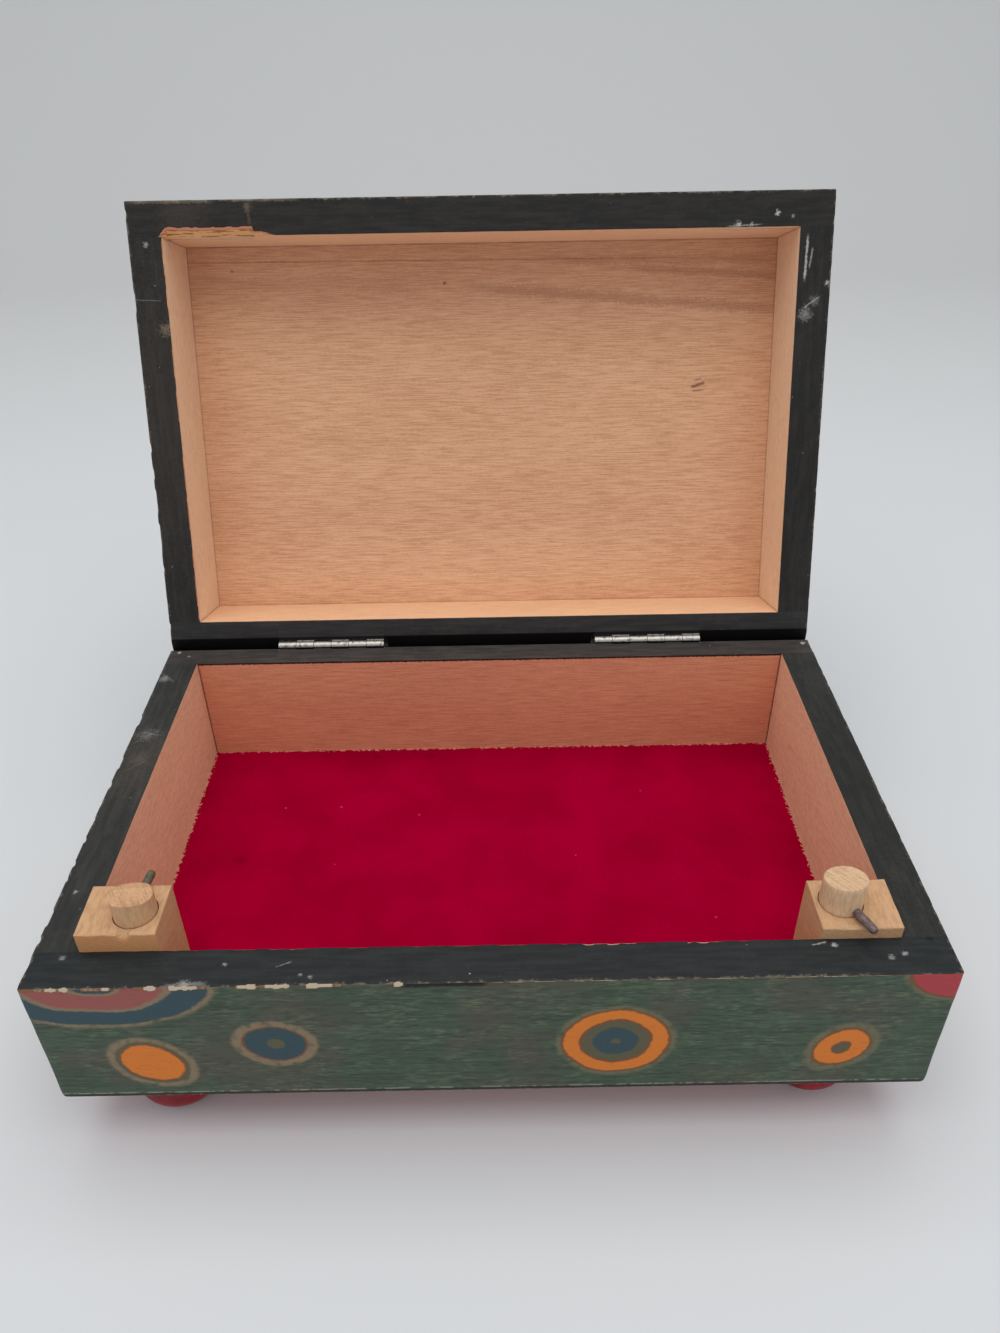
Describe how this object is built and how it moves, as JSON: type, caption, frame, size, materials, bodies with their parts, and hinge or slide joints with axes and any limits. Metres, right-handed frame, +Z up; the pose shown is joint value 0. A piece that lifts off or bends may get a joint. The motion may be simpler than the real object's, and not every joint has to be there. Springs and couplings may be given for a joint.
{
  "type": "keepsake box",
  "caption": "Painted wooden keepsake box on bun feet, with a hinged lid, a velvet floor and hidden corner latches turned by the front feet.",
  "frame": {"origin": "under the middle of the open box, lid included, on the plane the feet stand on", "axes": "+X to the right seen from the front, +Y to the rear, where the hinges are, +Z up"},
  "size_m": [0.2, 0.1982, 0.178],
  "materials": {
    "painted_wood": "black and dark green paint over wood, worn at the edges",
    "red_painted_wood": "red paint on a thin board",
    "red_gloss": "gloss red paint on turned wood",
    "pale_wood": "bare sawn wood",
    "velvet": "crimson velvet",
    "steel": "bright on the knuckles, dulled elsewhere"
  },
  "bodies": {
    "base": {"base_front_wall": "painted_wood", "base_back_wall": "painted_wood", "base_left_wall": "painted_wood", "base_right_wall": "painted_wood", "bottom_board": "red_painted_wood", "velvet_lining": "velvet", "left_lock_block": "pale_wood", "right_lock_block": "pale_wood", "rear_left_foot": "red_gloss", "rear_right_foot": "red_gloss", "rear_foot_screws": "steel", "left_hinge_base_leaf": "steel", "right_hinge_base_leaf": "steel", "left_hinge_pin": "steel", "right_hinge_pin": "steel", "base_hinge_brads": "steel"},
    "left_lock": {"left_lock_dowel": "pale_wood", "left_lock_foot": "red_gloss", "left_latch_nail": "steel"},
    "right_lock": {"right_lock_dowel": "pale_wood", "right_lock_foot": "red_gloss", "right_latch_nail": "steel"},
    "lid": {"lid_front_wall": "painted_wood", "lid_back_wall": "painted_wood", "lid_left_wall": "painted_wood", "lid_right_wall": "painted_wood", "lid_top_panel": "painted_wood", "left_hinge_lid_leaf": "steel", "right_hinge_lid_leaf": "steel", "lid_hinge_brads": "steel"}
  },
  "joints": [
    {"name": "lid_hinge", "type": "hinge", "parent": "base", "child": "lid", "pos_m": [0, 0.0305, 0.0554], "axis": [1, 0, 0], "range_deg": [0, 108.9]},
    {"name": "left_lock_turn", "type": "hinge", "parent": "base", "child": "left_lock", "pos_m": [-0.0782, -0.0827, 0], "axis": [0, 0, 1], "continuous": true},
    {"name": "right_lock_turn", "type": "hinge", "parent": "base", "child": "right_lock", "pos_m": [0.0782, -0.0813, 0], "axis": [0, 0, 1], "continuous": true}
  ]
}
